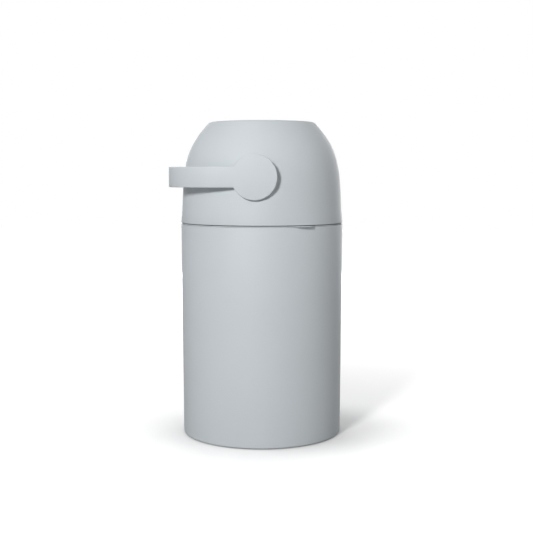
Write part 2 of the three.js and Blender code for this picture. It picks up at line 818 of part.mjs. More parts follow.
// A half on the side given by 1, above, or -1, below the parting face, about the pivot
function drumProfile(side) {
  const chamberOutside = chamberRadius + chamberWall;
  const inside = ballRadius - ballWall;
  const parting = side * partingGap;
  return [
    [chamberRadius, parting],
    [chamberRadius, side * mouthLipHeight],
    [mouthRadius, side * mouthLipHeight],
    ...ballArc(ballRadius, mouthRadius, ballHeight(ballRadius, partingGap), side, 5),
    ...ballArc(inside, ballHeight(inside, partingGap), chamberOutside, side, 3),
    [chamberOutside, parting],
  ];
}

const pocketStart = axleStart - seatGap;
const pocketEnd = axleStart + axleFlangeThickness + seatGap;

function hubForms() {
  const hub = facingFront(rod(hubRadius, chamberRadius + chamberWall / 2, hubEnd));
  const bore = joined(
    flattedRod(axleRadius + seatGap, axleFlat + seatGap, pocketEnd - seatGap, hubEnd + cutOverrun),
    solid(rod(axleFlange + seatGap, pocketStart, pocketEnd))
  );
  const front = facingFront(geometryOf(bore));
  return {
    hubs: [hub, mirrored(hub)].map((one) => solid(one)),
    bores: [front, mirrored(front)].map((one) => solid(one)),
  };
}

function drumScrewPlaces() {
  const angle = radians(drumScrewAngle);
  const x = drumScrewRadius * Math.sin(angle);
  const y = drumScrewRadius * Math.cos(angle);
  return [[x, -y], [x, y], [-x, y], [-x, -y]];
}

function makeDrumHalf(side) {
  const { hubs, bores } = hubForms();
  const shell = solid(revolved(drumProfile(side), ballFacets));
  const within = solid(revolved([
    [0, side * partingGap],
    ...ballArc(ballRadius - ballWall / 2, ballRadius - ballWall / 2, 0, side, 6),
  ], ballFacets));
  const reach = bucketRimRadius;
  const [low, high] = [side * partingGap, side * reach].sort((a, b) => a - b);
  const sideBlock = solid(block(-reach, reach, -reach, reach, low, high));
  const bossRadiusDrum = screwHeadRadius + seatGap + screwWall / 2;
  const [bossLow, bossHigh] = [0, side * ballRadius].sort((a, b) => a - b);
  const bosses = drumScrewPlaces().map(([x, y]) => {
    const boss = rod(bossRadiusDrum, bossLow, bossHigh, screwFacets);
    return solid(boss.translate(x, y, 0)).intersect(within);
  });
  const chamberCore = solid(rod(chamberRadius + chamberWall / 2, -reach, reach, ballFacets));
  const fittings = cut(joined(...hubs, ...bosses).intersect(sideBlock), chamberCore);
  const lugs = side > 0 ? makeLugs() : [];
  const holes = drumScrewPlaces().map(([x, y]) => {
    const shank = side > 0
      ? solid(rod(screwRadius + seatGap, -cutOverrun, screwLength - drumScrewSeat + screwWall, screwFacets))
      : joined(
        solid(rod(screwRadius + seatGap, -drumScrewSeat - cutOverrun, cutOverrun, screwFacets)),
        solid(rod(screwHeadRadius + seatGap, -ballRadius, -drumScrewSeat, screwFacets))
      );
    return solid(geometryOf(shank).translate(x, y, 0));
  });
  const body = cut(joined(shell, fittings, ...lugs), ...bores, ...holes);
  return atPivot(geometryOf(body));
}

// Lugs on the upper half's hubs, which run against the fixed stops in the dome
function makeLugs() {
  const lug = ringSector(
    hubRadius - lugRoot, lugReach, hubEnd - lugThickness, hubEnd,
    quarterTurn - lugWidth / 2, quarterTurn + lugWidth / 2
  );
  const front = facingFront(lug);
  return [front, mirrored(front)].map((one) => solid(one));
}

place('drum_upper', makeDrumHalf(1), materials.ball);
place('drum_lower', makeDrumHalf(-1), materials.ball);

drumScrewPlaces().forEach(([x, y], i) => {
  place(`drum_screw_${i + 1}`, makeScrew(pivotHeight - drumScrewSeat, x, y), materials.steel);
});

// Axles: flanged and flatted in the drum's hubs, round in the bushes, flatted again in the handle
const discBack = domeOutsideAt(pivotHeight - discRadius) + discGap;
const handleOutside = discBack + discThickness;
const strapReach = domeAtPivot + fingerGap + strapThickness;
const socketStart = discBack - socketRingReach;
const socketEnd = socketStart + socketDepth;
const axleEnd = socketEnd - seatGap;

function makeAxle() {
  const flange = solid(rod(axleFlange, axleStart, axleStart + axleFlangeThickness));
  const drive = flattedRod(axleRadius, axleFlat, axleStart + axleFlangeThickness / 2, hubEnd + 2 * seatGap);
  const journal = solid(rod(axleRadius, hubEnd + seatGap, socketStart - seatGap));
  const tip = flattedRod(axleRadius, axleFlat, socketStart - 2 * seatGap, axleEnd);
  return facingFront(geometryOf(joined(flange, drive, journal, tip)));
}

place('axle_front', atPivot(makeAxle()), materials.axle);
place('axle_rear', solid(mirrored(atPivot(makeAxle()))), materials.axle);

// Handle: one bow with a disc at each end, drawn in plan and raised to the strap's height

function strapOutline(inset) {
  const outer = strapCorner - inset;
  const cornerX = strapReach - strapCorner;
  const cornerY = handleOutside - strapCorner;
  const inner = strapCorner - strapThickness + inset;
  const shape = new THREE.Shape();
  shape.moveTo(0, -(cornerY + outer));
  shape.lineTo(-cornerX, -(cornerY + outer));
  shape.absarc(-cornerX, -cornerY, outer, radians(270), radians(180), true);
  shape.lineTo(-(cornerX + outer), cornerY);
  shape.absarc(-cornerX, cornerY, outer, radians(180), radians(90), true);
  shape.lineTo(0, cornerY + outer);
  shape.lineTo(0, cornerY + inner);
  shape.lineTo(-cornerX, cornerY + inner);
  shape.absarc(-cornerX, cornerY, inner, radians(90), radians(180), false);
  shape.lineTo(-(cornerX + inner), -cornerY);
  shape.absarc(-cornerX, -cornerY, inner, radians(180), radians(270), false);
  shape.lineTo(0, -(cornerY + inner));
  return shape;
}

function makeHandle() {
  const strap = new THREE.ExtrudeGeometry(strapOutline(strapRound), {
    depth: strapHeight - 2 * strapRound,
    bevelEnabled: true,
    bevelThickness: strapRound,
    bevelSize: strapRound,
    bevelSegments: 1,
    curveSegments: 9,
  });
  strap.translate(0, 0, -strapHeight / 2 + strapRound);
  const disc = facingFront(revolved([
    [0, discBack],
    [discRadius, discBack],
    ...arc(discRadius - discRound, handleOutside - discRound, discRound, 0, 90, 1),
    [0, handleOutside],
  ], shellFacets));
  const ringRadius = axleRadius + seatGap + socketRingWall;
  const socketRing = facingFront(rod(ringRadius, socketStart, discBack + discThickness / 2));
  const socket = facingFront(geometryOf(
    flattedRod(axleRadius + seatGap, axleFlat + seatGap, socketStart - cutOverrun, socketEnd)
  ));
  const ends = [disc, mirrored(disc), socketRing, mirrored(socketRing)].map((one) => solid(one));
  const body = cut(
    joined(solid(strap), ...ends),
    solid(socket),
    solid(mirrored(socket))
  );
  return atPivot(geometryOf(body));
}

place('handle_bail', makeHandle(), materials.body);

// Piston: a ribbed cup and its cover, with a wiper ring in a groove round the cup

const pistonBottom = pivotHeight - mouthLipHeight + seatGap;
const pistonTop = pistonBottom + pistonHeight;
const coverBottom = pistonTop - coverThickness;
const cupTop = coverBottom - seatGap;
const grooveMiddle = (pistonBottom + cupTop) / 2;
const grooveLow = grooveMiddle - wiperHeight / 2 - seatGap;
const grooveHigh = grooveMiddle + wiperHeight / 2 + seatGap;

function makePistonBody() {
  const bore = pistonRadius - pistonWall;
  const grooveInner = pistonRadius - wiperDepth;
  const thick = grooveInner - pistonWall;
  const cup = solid(revolved([
    [0, pistonBottom],
    [pistonRadius, pistonBottom],
    [pistonRadius, grooveLow],
    [grooveInner, grooveLow],
    [grooveInner, grooveHigh],
    [pistonRadius, grooveHigh],
    [pistonRadius, cupTop],
    [bore, cupTop],
    [bore, grooveHigh + pistonWall],
    [thick, grooveHigh],
    [thick, pistonBottom + pistonFloor],
    [0, pistonBottom + pistonFloor],
  ], ballFacets));
  const rib = block(
    0, thick + pistonWall / 2, -pistonRibThickness / 2, pistonRibThickness / 2,
    pistonBottom + pistonFloor / 2, grooveHigh
  );
  return joined(cup, ...around(rib, pistonRibCount).map((one) => solid(one)));
}

function makePistonCover() {
  const spigotR = pistonRadius - pistonWall - seatGap;
  return revolved([
    [0, coverBottom],
    [spigotR - pistonWall, coverBottom],
    [spigotR - pistonWall, coverBottom - coverSpigot],
    [spigotR, coverBottom - coverSpigot],
    [spigotR, coverBottom],
    [pistonRadius, coverBottom],
    [pistonRadius, pistonTop],
    [0, pistonTop],
  ], ballFacets);
}

function makeWiper() {
  const inner = pistonRadius - wiperDepth + seatGap;
  const low = grooveLow + seatGap;
  const high = grooveHigh - seatGap;
  const tip = pistonRadius + wiperStand;
  return revolved([
    [inner, low],
    [pistonRadius, low],
    [tip, grooveMiddle],
    [pistonRadius, high],
    [inner, high],
  ], ballFacets);
}

place('piston_body', makePistonBody(), materials.piston);
place('piston_cover', solid(makePistonCover()), materials.piston);
place('piston_seal', solid(makeWiper()), materials.seal);

export default model;
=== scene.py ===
import json
import math
import bpy
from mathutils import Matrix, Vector
from mathutils.geometry import interpolate_bezier


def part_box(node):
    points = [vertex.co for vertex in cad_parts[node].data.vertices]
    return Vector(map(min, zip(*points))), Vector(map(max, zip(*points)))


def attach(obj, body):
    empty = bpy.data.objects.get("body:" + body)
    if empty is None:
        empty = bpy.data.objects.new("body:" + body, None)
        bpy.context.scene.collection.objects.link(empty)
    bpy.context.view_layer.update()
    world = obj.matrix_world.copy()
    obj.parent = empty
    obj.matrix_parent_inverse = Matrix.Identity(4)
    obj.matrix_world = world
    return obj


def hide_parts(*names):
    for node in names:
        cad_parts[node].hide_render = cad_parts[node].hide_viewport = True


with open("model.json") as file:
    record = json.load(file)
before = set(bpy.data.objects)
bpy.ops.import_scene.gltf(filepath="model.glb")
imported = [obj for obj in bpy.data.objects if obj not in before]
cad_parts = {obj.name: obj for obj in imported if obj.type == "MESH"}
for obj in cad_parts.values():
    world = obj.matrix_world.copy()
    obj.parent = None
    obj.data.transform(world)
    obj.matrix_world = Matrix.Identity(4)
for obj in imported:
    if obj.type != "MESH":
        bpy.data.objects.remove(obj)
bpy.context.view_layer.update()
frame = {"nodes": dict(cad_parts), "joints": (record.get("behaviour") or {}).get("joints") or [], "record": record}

# Nappy bin with a flip handle. The bin's sizes and the camera's place are written in millimetres, and mm
# turns them to Blender's metres. The sizes and places of the lamps and the floor are in metres.
mm = 0.001
scene = bpy.context.scene
print("frame loaded:", len(frame["nodes"]), "solids")


# Places that the frame gives, in millimetres

def low(node, axis):
    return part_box(node)[0]["xyz".index(axis)] / mm


def high(node, axis):
    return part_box(node)[1]["xyz".index(axis)] / mm


joints = {joint["name"]: joint for joint in frame["joints"]}
pivotZ = joints["handle_turn"]["pos_m"][2] / mm
hingeY = joints["head_hinge"]["pos_m"][1] / mm
hingeZ = joints["head_hinge"]["pos_m"][2] / mm
rimR = high("bucket", "x")
headTop = high("dome_shell", "z")
seat = 0.3  # air between seated pieces
weldReach = 0.02  # corners closer than this become one
poleR = 0.01  # smallest radius of a turned ring, which the weld closes
roundness = {"shell": 192, "wide": 160, "hub": 96, "bar": 64, "screw": 48, "shank": 32}  # corners of a circle


# Working as in the viewport

def deselect():
    if bpy.context.object and bpy.context.object.mode != "OBJECT":
        bpy.ops.object.mode_set(mode="OBJECT")
    bpy.ops.object.select_all(action="DESELECT")


def pick(piece):
    deselect()
    piece.select_set(True)
    bpy.context.view_layer.objects.active = piece


def applyPlace(piece):
    pick(piece)
    bpy.ops.object.transform_apply(location=True, rotation=True, scale=True)
    return piece


def applyModifier(piece, kind, **settings):
    pick(piece)
    modifier = piece.modifiers.new(kind.title(), kind)
    for key, value in settings.items():
        setattr(modifier, key, value)
    bpy.ops.object.modifier_apply(modifier=modifier.name)
    return piece


def softenEdges(piece, width, segments=3, angle=30):
    return applyModifier(piece, "BEVEL", width=width * mm, segments=segments, limit_method="ANGLE",
                         angle_limit=math.radians(angle))


def combine(piece, tool, how):
    # joins or cuts the piece with a tool, which is used up
    applyModifier(piece, "BOOLEAN", object=tool, operation=how, solver="EXACT")
    bpy.data.objects.remove(tool)
    return piece


def tidyMesh(piece):
    pick(piece)
    bpy.ops.object.mode_set(mode="EDIT")
    bpy.ops.mesh.select_all(action="SELECT")
    bpy.ops.mesh.remove_doubles(threshold=weldReach * mm)
    bpy.ops.mesh.normals_make_consistent(inside=False)
    bpy.ops.object.mode_set(mode="OBJECT")
    return piece


def finishPiece(piece, body, slot, *nodes, angle=35):
    # smooths it, gives it its slot's material and hides the solids it stands for
    applyPlace(piece)
    bpy.ops.object.shade_smooth_by_angle(angle=math.radians(angle))
    piece.data.materials.clear()
    piece.data.materials.append(slotMaterials[slot])
    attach(piece, body)
    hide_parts(*nodes)
    return piece


# Forms

def arc(r, z, radius, start, end, steps):
    angles = [math.radians(start + (end - start) * i / steps) for i in range(steps + 1)]
    return [(r + radius * math.cos(a), z + radius * math.sin(a)) for a in angles]


def turned(name, rings, facets=roundness["shell"], closed=False):
    # a circle extruded ring by ring, each scaled to the next radius; rings are (radius, height)
    if closed:
        rings = [*rings, rings[0]]
    rings = [(max(r, poleR), z) for r, z in rings]
    startR, startZ = rings[0]
    deselect()
    bpy.ops.mesh.primitive_circle_add(vertices=facets, radius=startR * mm, location=(0, 0, startZ * mm))
    piece = bpy.context.object
    piece.name = name
    bpy.ops.object.mode_set(mode="EDIT")
    bpy.ops.mesh.select_all(action="SELECT")
    for (r, z), (nextR, nextZ) in zip(rings, rings[1:]):
        bpy.ops.mesh.extrude_edges_move(TRANSFORM_OT_translate={"value": (0, 0, (nextZ - z) * mm)})
        bpy.ops.transform.resize(value=(nextR / r, nextR / r, 1), center_override=(0, 0, 0))
    bpy.ops.object.mode_set(mode="OBJECT")
    applyPlace(piece)
    return tidyMesh(piece)


def pointed(piece, side):
    # turns a form made about +Z towards the front (-1) or the rear (1), on the handle's axis
    piece.rotation_euler = (-side * math.pi / 2, 0, 0)
    piece.location = (0, 0, pivotZ * mm)
    return applyPlace(piece)


def bar(name, radius, place, length, axis="Z", facets=roundness["bar"]):
    turns = {"X": (0, math.pi / 2, 0), "Y": (math.pi / 2, 0, 0), "Z": (0, 0, 0)}
    deselect()
    bpy.ops.mesh.primitive_cylinder_add(vertices=facets, radius=radius * mm, depth=length * mm,
                                        location=Vector(place) * mm, rotation=turns[axis])
    piece = bpy.context.object
    piece.name = name
    return applyPlace(piece)


def barOut(name, radius, near, far, side, facets=roundness["bar"]):
    # a bar on the handle's axis between two distances from the middle
    return bar(name, radius, (0, side * (near + far) / 2, pivotZ), far - near, "Y", facets)


def brick(name, size, place, turn=0.0):
    deselect()
    bpy.ops.mesh.primitive_cube_add(size=mm, location=Vector(place) * mm, rotation=(0, 0, turn))
    piece = bpy.context.object
    piece.name = name
    piece.scale = size
    return applyPlace(piece)


def tracedPlate(name, outline, width):
    # an outline in the YZ plane, traced point by point, filled and extruded along X
    deselect()
    bpy.ops.mesh.primitive_plane_add(size=mm)
    piece = bpy.context.object
    piece.name = name
    bpy.ops.object.mode_set(mode="EDIT")
    bpy.ops.mesh.select_all(action="SELECT")
    bpy.ops.mesh.merge(type="CENTER")
    at = Vector((0, 0, 0))
    for i, (y, z) in enumerate(outline):
        there = Vector((-width / 2, y, z)) * mm
        if i == 0:
            bpy.ops.transform.translate(value=there - at)
        else:
            bpy.ops.mesh.extrude_vertices_move(TRANSFORM_OT_translate={"value": there - at})
        at = there
    bpy.ops.mesh.select_all(action="SELECT")
    bpy.ops.mesh.edge_face_add()
    bpy.ops.mesh.extrude_region_move(TRANSFORM_OT_translate={"value": (width * mm, 0, 0)})
    bpy.ops.object.mode_set(mode="OBJECT")
    return tidyMesh(piece)


# Materials

def hexColour(code):
    # a colour as it is written, in Blender's linear values
    channels = [int(code[i:i + 2], 16) / 255 for i in (1, 3, 5)]
    return (*[c / 12.92 if c <= 0.04045 else ((c + 0.055) / 1.055) ** 2.4 for c in channels], 1)


def addNode(tree, kind, values=None, links=None, **settings):
    node = tree.nodes.new(kind)
    for key, value in settings.items():
        setattr(node, key, value)
    for socket, value in (values or {}).items():
        node.inputs[socket].default_value = value
    for socket, source in (links or {}).items():
        tree.links.new(source, node.inputs[socket])
    return node


def startMaterial(name):
    material = bpy.data.materials.new(name)
    material.use_nodes = True
    tree = material.node_tree
    tree.nodes.clear()
    place = addNode(tree, "ShaderNodeTexCoord")
    return material, tree, place.outputs["Object"]


def endMaterial(tree, shader):
    addNode(tree, "ShaderNodeOutputMaterial", links={"Surface": shader.outputs[0]})


def noiseOf(tree, where, size, detail):
    return addNode(tree, "ShaderNodeTexNoise", {"Scale": 1 / (size * mm), "Detail": detail},
                   {"Vector": where})


def spreadOver(tree, noise, least, most):
    return addNode(tree, "ShaderNodeMapRange", {"To Min": least, "To Max": most},
                   {"Value": noise.outputs["Fac"]})


def reliefOf(tree, noise, strength, height):
    return addNode(tree, "ShaderNodeBump", {"Strength": strength, "Distance": height * mm},
                   {"Height": noise.outputs["Fac"]})


def mouldedPlastic(name, look):
    # injection-moulded plastic: an even colour with faint flow clouds, a fine mould grain and a soft sheen
    material, tree, where = startMaterial(name)
    clouds = noiseOf(tree, where, look["cloudSize"], look["cloudDetail"])
    tint = addNode(tree, "ShaderNodeMix", {6: hexColour(look["colour"]), 7: hexColour(look["cloudColour"])},
                   {0: clouds.outputs["Fac"]}, data_type="RGBA")
    sheen = spreadOver(tree, clouds, look["roughness"] - look["roughnessSpread"],
                       look["roughness"] + look["roughnessSpread"])
    grain = noiseOf(tree, where, look["grainSize"], look["grainDetail"])
    bump = reliefOf(tree, grain, look["grainStrength"], look["grainHeight"])
    shader = addNode(tree, "ShaderNodeBsdfPrincipled", {"IOR": look["ior"]},
                     {"Base Color": tint.outputs[2], "Roughness": sheen.outputs[0],
                      "Normal": bump.outputs[0]})
    endMaterial(tree, shader)
    return material


bodyLook = {"colour": "#c5cbcf", "cloudColour": "#c9cfd3", "cloudSize": 90, "cloudDetail": 3.0,
            "roughness": 0.58, "roughnessSpread": 0.03, "grainSize": 1.4, "grainDetail": 2.0,
            "grainStrength": 0.12, "grainHeight": 0.05, "ior": 1.53}
innerLook = {**bodyLook, "colour": "#d2d6d8", "cloudColour": "#d8dbdc", "roughness": 0.5}
ballLook = {**bodyLook, "colour": "#dcdfe0", "cloudColour": "#e2e4e5", "roughness": 0.28,
            "grainStrength": 0.04}
pistonLook = {**bodyLook, "colour": "#b4bcc1", "cloudColour": "#bac2c6", "roughness": 0.42}
bushLook = {**bodyLook, "colour": "#e8e7df", "cloudColour": "#ecebe4", "roughness": 0.35}
axleLook = {**bodyLook, "colour": "#aab1b5", "cloudColour": "#b0b7ba", "roughness": 0.5}
rubberLook = {**bodyLook, "colour": "#4a4849", "cloudColour": "#545253", "cloudSize": 30,
              "roughness": 0.8, "roughnessSpread": 0.06, "grainSize": 1.2, "grainStrength": 0.3,
              "grainHeight": 0.08, "ior": 1.5}
padLook = {**rubberLook, "colour": "#6a6c6d", "cloudColour": "#737576"}
steelLook = {"colour": "#b9bbbd", "roughness": (0.25, 0.38), "markSize": 0.8, "markDetail": 2.0,
             "markStrength": 0.15, "markHeight": 0.02}


def platedSteel(name, look):
    # zinc-plated steel: bright and even, with fine marks that break up its reflections
    material, tree, where = startMaterial(name)
    marks = noiseOf(tree, where, look["markSize"], look["markDetail"])
    sheen = spreadOver(tree, marks, *look["roughness"])
    bump = reliefOf(tree, marks, look["markStrength"], look["markHeight"])
    shader = addNode(tree, "ShaderNodeBsdfPrincipled",
                     {"Base Color": hexColour(look["colour"]), "Metallic": 1.0},
                     {"Roughness": sheen.outputs[0], "Normal": bump.outputs[0]})
    endMaterial(tree, shader)
    return material


slotMaterials = {
    "body_plastic": mouldedPlastic("moulded ABS satin blue-grey", bodyLook),
    "inner_plastic": mouldedPlastic("moulded polypropylene pale grey", innerLook),
    "ball_plastic": mouldedPlastic("polished moulded polypropylene", ballLook),
    "piston_plastic": mouldedPlastic("moulded polypropylene blue-grey", pistonLook),
    "bush_plastic": mouldedPlastic("moulded acetal natural white", bushLook),
    "axle_plastic": mouldedPlastic("moulded glass-filled nylon", axleLook),
    "seal_rubber": mouldedPlastic("moulded silicone rubber dark", rubberLook),
    "pad_rubber": mouldedPlastic("moulded thermoplastic rubber grey", padLook),
    "steel": platedSteel("zinc-plated steel", steelLook)}
for part in frame["record"]["subparts"]:
    solid = frame["nodes"][part["node"]]
    solid.data.materials.clear()
    solid.data.materials.append(slotMaterials[part["material_slot"]])
print("materials made")


# Bucket with its hinge bracket

bucket = {"wall": 2.6, "footR": 142.8, "footLift": 0.7, "footFillet": 3.6, "rimRound": 0.9, "rimChamfer": 0.5,
          "wallRings": (120, 240), "floor": 3.0, "recess": 128.3, "insideFillet": 9.0, "ringFlange": 1.4}
hinge = {"eyeR": 5.6, "width": 27.4, "ear": 8.0, "foot": 28.0, "gusset": 16.0, "room": 0.9, "shoulder": 3.0,
         "round": 0.8, "pinR": 2.0, "pinChamfer": 0.4, "boreLength": 60, "arm": 20.0, "armShoulder": 6.7,
         "armSink": 1.0, "armInset": 0.2}
bucketTop = high("bag_ring", "z") - bucket["ringFlange"] - seat
floorLow = high("base_pad", "z") + seat
floorTop = floorLow + bucket["floor"]


def bucketOutside(z):
    # radius of the tapered wall at a height
    span = bucketTop - bucket["footLift"] - bucket["footFillet"]
    return rimR - (rimR - bucket["footR"]) * (bucketTop - z) / span


def pinTool():
    return bar("pinTool", hinge["pinR"] + seat, (0, hingeY, hingeZ), hinge["boreLength"], "X")


def makeBucket():
    fillet, lift, rim, wall = bucket["footFillet"], bucket["footLift"], bucket["rimRound"], bucket["wall"]
    inside, chamfer = bucket["insideFillet"], bucket["rimChamfer"]
    inner = bucketOutside(floorTop) - wall - inside
    shell = turned("bucketShell", [
        (0, floorLow), (bucket["recess"], floorLow), (bucket["recess"], lift),
        *arc(bucket["footR"] - fillet, lift + fillet, fillet, -90, 0, 8),
        *[(bucketOutside(z), z) for z in bucket["wallRings"]],
        *arc(rimR - rim, bucketTop - rim, rim, 0, 90, 5),
        (rimR - wall + chamfer, bucketTop), (rimR - wall, bucketTop - chamfer),
        *arc(inner, floorTop + inside, inside, 0, -90, 8),
        (0, floorTop)])
    root, foot, back = rimR - wall / 2, hingeZ - hinge["foot"], hingeY + hinge["eyeR"]
    gusset, top = foot + hinge["gusset"], bucketTop - hinge["shoulder"]
    stop = hingeZ - hinge["eyeR"] - hinge["room"]
    block = [(root, foot), (rimR, foot), (back, gusset), (back, stop), (root, stop)]
    ear = [(root, foot), (rimR, foot), (back, gusset), *arc(hingeY, hingeZ, hinge["eyeR"], 0, 180, 24),
           (hingeY - hinge["eyeR"], top), (root, top)]
    bracket = tracedPlate("hingeBracket", block, hinge["width"] + hinge["ear"])
    for side in (-1, 1):
        plate = tracedPlate("hingeEar", ear, hinge["ear"])
        softenEdges(plate, hinge["round"])
        plate.location.x = side * (hinge["width"] / 2 + seat + hinge["ear"] / 2) * mm
        combine(bracket, applyPlace(plate), "UNION")
    combine(bracket, pinTool(), "DIFFERENCE")
    combine(shell, bracket, "UNION")
    return finishPiece(shell, "bin", "body_plastic", "bucket")


makeBucket()
print("bucket done")


# Base pad with grooves that grip, and the hinge pin

pad = {"edgeR": 128.0, "chamfer": 0.8, "topChamfer": 0.3, "grooveDepth": 0.6, "grooveWidth": 3.0,
       "grooves": (40, 80, 112)}


def makePad():
    top, edge, half, depth = high("base_pad", "z"), pad["edgeR"], pad["grooveWidth"] / 2, pad["grooveDepth"]
    cut, topCut = pad["chamfer"], pad["topChamfer"]
    rings = [(0, 0)]
    for r in pad["grooves"]:
        rings += [(r - half, 0), (r - half, depth), (r + half, depth), (r + half, 0)]
    rings += [(edge - cut, 0), (edge, cut), (edge, top - topCut), (edge - topCut, top), (0, top)]
    return finishPiece(turned("basePad", rings), "bin", "pad_rubber", "base_pad")


def makePin():
    half, r, cut = high("hinge_pin", "x"), hinge["pinR"], hinge["pinChamfer"]
    rings = [(0, -half), (r - cut, -half), (r, cut - half), (r, half - cut), (r - cut, half), (0, half)]
    pin = turned("hingePin", rings, roundness["screw"])
    pin.rotation_euler = (0, math.pi / 2, 0)
    pin.location = (0, hingeY * mm, hingeZ * mm)
    return finishPiece(pin, "bin", "steel", "hinge_pin")


makePad()
makePin()
print("base pad and hinge pin done")


# Bag ring with its crescent tab

ring = {"setback": 1.1, "skirtDepth": 35.0, "wall": 2.0, "leadIn": 1.2, "bagGap": 1.2, "edge": 0.35,
        "skirtChamfer": 0.3, "tabReach": 8.4, "tabChord": 47.0, "tabAngle": 34.3, "tabTool": 40}


def makeBagRing():
    top, bottom = high("bag_ring", "z"), bucketTop + seat
    flangeR, edge, lead, cut = rimR - ring["setback"], ring["edge"], ring["leadIn"], ring["skirtChamfer"]
    skirtOut = rimR - bucket["wall"] - ring["bagGap"]
    skirtIn, skirtLow = skirtOut - ring["wall"], bottom - ring["skirtDepth"]
    body = turned("bagRing", [
        (flangeR, bottom + edge), *arc(flangeR - edge, top - edge, edge, 0, 90, 3),
        *arc(skirtIn + lead, top - lead, lead, 90, 180, 5),
        (skirtIn, skirtLow + cut), (skirtIn + cut, skirtLow),
        *arc(skirtOut - lead, skirtLow + lead, lead, -90, 0, 4),
        (skirtOut, bottom), (flangeR - edge, bottom)], closed=True)
    half, tip = ring["tabChord"] / 2, rimR + ring["tabReach"]
    depth = tip - math.sqrt(flangeR ** 2 - half ** 2)
    tabR = (half ** 2 + depth ** 2) / (2 * depth)
    angle = math.radians(ring["tabAngle"])
    out = Vector((math.sin(angle), -math.cos(angle)))
    centre = out * (tip - tabR)
    tab = bar("tab", tabR, (centre.x, centre.y, (bottom + top) / 2), top - bottom, facets=roundness["wide"])
    softenEdges(tab, edge)
    tool = bar("tabTool", flangeR - ring["wall"] / 2, (0, 0, bottom), ring["tabTool"],
               facets=roundness["shell"])
    combine(tab, tool, "DIFFERENCE")
    combine(body, tab, "UNION")
    return finishPiece(body, "bin", "body_plastic", "bag_ring")


makeBagRing()
print("bag ring done")


# Dome of the head, with its hinge knuckle and the bosses for the bushes

dome = {"seam": 3.0, "wall": 2.8, "lipRound": 0.9, "waistRise": 21.1, "waistInset": 1.85, "lean": 2.5,
        "waistPull": 76.05, "browDrop": 1.8, "browR": 95.84, "slope": 47.3, "browPull": 65.46, "topR": 92.24,
        "shoulderSteps": (0.2, 0.4, 0.6, 0.8, 1), "shoulderPowers": (1.6, 2.2), "lipR": 86.04,
        "lipThick": 2.8, "lipChamfer": 0.5, "ledgeR": 83.04, "ledgeThick": 2.3, "ledgeRoom": 1.0,
        "bossR": 21.1, "bossBore": 15.3, "bossStart": 112.0, "bossEnd": 138.2, "boreTool": (105, 160),
        "stopR": 27.0, "stopThick": 3.0}
headBottom = bucketTop + dome["seam"]
ledgeTop = headTop - dome["lipThick"] - seat
ledgeLow = ledgeTop - dome["ledgeThick"]


def domeSide(inset, points=40):
    # a curve from the dome's waist up to its brow, moved inwards by the inset
    lean, slope = math.radians(dome["lean"]), math.radians(dome["slope"])
    waist = Vector((rimR - dome["waistInset"], headBottom + dome["waistRise"]))
    brow = Vector((dome["browR"], headTop - dome["browDrop"]))
    upper = waist + dome["waistPull"] * Vector((-math.sin(lean), math.cos(lean)))
    outer = brow + dome["browPull"] * Vector((math.cos(slope), -math.sin(slope)))
    side = interpolate_bezier(waist, upper, outer, brow, points)
    moved = []
    for i, point in enumerate(side):
        along = (side[min(i + 1, points - 1)] - side[max(i - 1, 0)]).normalized()
        moved.append((point.x - inset * along.y, point.y + inset * along.x))
    return moved


def makeDome():
    lip, slope, chamfer = dome["lipRound"], math.radians(dome["slope"]), dome["lipChamfer"]
    inside = domeSide(dome["wall"])
    endR, endZ = inside[-1]
    step, drop = dome["browR"] - dome["topR"], dome["browDrop"]
    inward, downward = dome["shoulderPowers"]
    shoulder = [(dome["topR"] + step * (1 - t) ** inward, headTop - drop * (1 - t) ** downward)
                for t in dome["shoulderSteps"]]
    shell = turned("domeShell", [
        *arc(rimR - lip, headBottom + lip, lip, -90, 0, 5), *domeSide(0), *shoulder,
        (dome["lipR"] + chamfer, headTop), (dome["lipR"], headTop - chamfer), (dome["lipR"], ledgeTop),
        (dome["ledgeR"], ledgeTop), (dome["ledgeR"], ledgeLow),
        (endR + (endZ - ledgeLow) / math.tan(slope), ledgeLow),
        *[(r, z) for r, z in reversed(inside) if z < ledgeLow - dome["ledgeRoom"]],
        (rimR - dome["wall"], headBottom)], closed=True)
    start, corners = dome["bossStart"], roundness["hub"]
    for side in (-1, 1):
        boss = barOut("boss", dome["bossR"], start, dome["bossEnd"], side, corners)
        collar = barOut("stopRing", dome["stopR"], start, start + dome["stopThick"], side, corners)
        combine(boss, collar, "UNION")
        combine(shell, boss, "UNION")
        combine(shell, barOut("boreTool", dome["bossBore"], *dome["boreTool"], side, corners), "DIFFERENCE")
    root, arm = rimR - dome["wall"] / 2 - hinge["armSink"], headBottom + hinge["arm"]
    front, back = hingeY - hinge["eyeR"], hingeY + hinge["eyeR"]
    knuckle = tracedPlate("knuckle", [
        (front, headBottom + lip), (root, headBottom + lip), (root, arm), (rimR - hinge["armInset"], arm),
        (back, headBottom + hinge["armShoulder"]), *arc(hingeY, hingeZ, hinge["eyeR"], 0, -180, 24)],
        hinge["width"])
    softenEdges(knuckle, hinge["round"])
    combine(knuckle, pinTool(), "DIFFERENCE")
    combine(shell, knuckle, "UNION")
    return finishPiece(shell, "head", "body_plastic", "dome_shell")


makeDome()
print("dome done")


# Throat, the ball's two wipers, and the gasket

